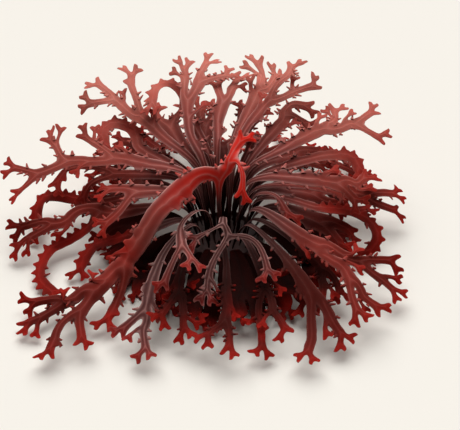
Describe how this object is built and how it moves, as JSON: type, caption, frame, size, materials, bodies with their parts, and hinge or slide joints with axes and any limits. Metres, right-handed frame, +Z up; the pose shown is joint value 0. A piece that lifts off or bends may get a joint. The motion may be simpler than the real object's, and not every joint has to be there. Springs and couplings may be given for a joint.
{
  "type": "irish moss seaweed",
  "caption": "Whole tuft of Irish moss, a red seaweed: a small holdfast disc with flat fronds that arch outwards and fork into short blunt prongs.",
  "frame": {"origin": "middle of the holdfast's flat underside, on the surface that the tuft rests on", "axes": "+Z up out of the holdfast, X across the tuft's width, and the picture looks along +Y from 40 degrees above"},
  "size_m": [0.1609, 0.148, 0.0538],
  "materials": {
    "frond": "satin, slightly leathery",
    "red_frond": "satin, slightly leathery",
    "holdfast": "matt"
  },
  "bodies": {
    "root": {"frond_arch": "red_frond", "frond_back_inner_right": "frond", "frond_back_left_arc": "frond", "frond_back_left_inner": "frond", "frond_back_left_tall": "frond", "frond_back_left_wide": "frond", "frond_back_low": "frond", "frond_back_low_right": "frond", "frond_back_middle": "frond", "frond_back_middle_right": "frond", "frond_back_right": "frond", "frond_back_right_low": "frond", "frond_bed_left": "frond", "frond_bed_middle": "frond", "frond_bed_middle_left": "frond", "frond_bed_middle_right": "frond", "frond_bed_right": "frond", "frond_far_1": "frond", "frond_far_2": "frond", "frond_far_3": "frond", "frond_far_4": "frond", "frond_far_5": "frond", "frond_far_6": "frond", "frond_far_7": "frond", "frond_front_curl": "frond", "frond_front_left_inner": "frond", "frond_front_left_middle": "frond", "frond_front_low_far_left": "frond", "frond_front_low_far_right": "frond", "frond_front_low_left": "frond", "frond_front_low_middle_left": "frond", "frond_front_low_middle_right": "frond", "frond_front_low_right": "frond", "frond_front_middle": "frond", "frond_front_right": "frond", "frond_front_right_inner": "frond", "frond_front_star": "frond", "frond_left_floor": "frond", "frond_left_floor_inner": "frond", "frond_left_inner": "frond", "frond_left_long": "frond", "frond_left_low_arc": "frond", "frond_left_low_inner": "frond", "frond_left_middle": "frond", "frond_left_upper_arc": "frond", "frond_left_upper_inner": "frond", "frond_right_back": "frond", "frond_right_front": "frond", "frond_right_hanging": "frond", "frond_right_hook": "frond", "frond_right_inner": "frond", "frond_right_long": "frond", "frond_right_low_arc": "frond", "frond_right_low_inner": "frond", "frond_right_middle": "frond", "frond_right_upper": "frond", "frond_right_upper_arc": "frond", "frond_right_upper_inner": "frond", "holdfast": "holdfast"}
  },
  "joints": []
}
